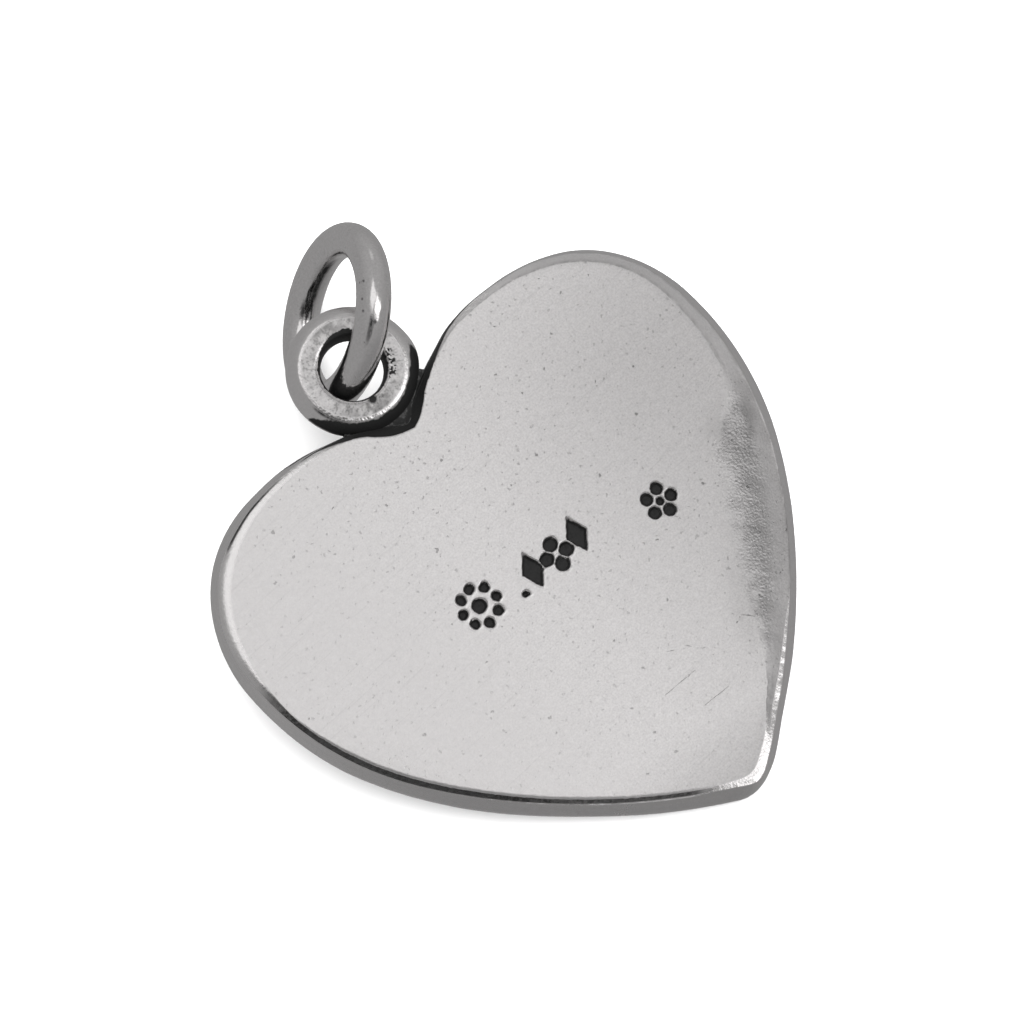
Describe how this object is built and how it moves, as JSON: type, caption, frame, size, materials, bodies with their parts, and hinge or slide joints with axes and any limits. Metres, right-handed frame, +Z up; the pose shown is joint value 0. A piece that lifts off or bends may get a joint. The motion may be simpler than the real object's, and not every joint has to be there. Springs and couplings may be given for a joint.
{
  "type": "heart charm",
  "caption": "Flat silver heart charm with a soldered hanging loop and a jump ring, lying on its front with its plain back upwards.",
  "frame": {"origin": "centre of the bounding box, at the surface that the charm lies on", "axes": "+Y from the heart's tip to its hanging loop, +Z up out of the plain back, which leans with its loop end raised"},
  "size_m": [0.0194, 0.0228, 0.0056],
  "materials": {
    "antiqued_silver": "soft polish with fine scratches, blackened in the recesses",
    "silver_wire": "soft polish, slightly tarnished"
  },
  "bodies": {
    "root": {"heart_plate": "antiqued_silver", "jump_ring": "silver_wire"}
  },
  "joints": []
}
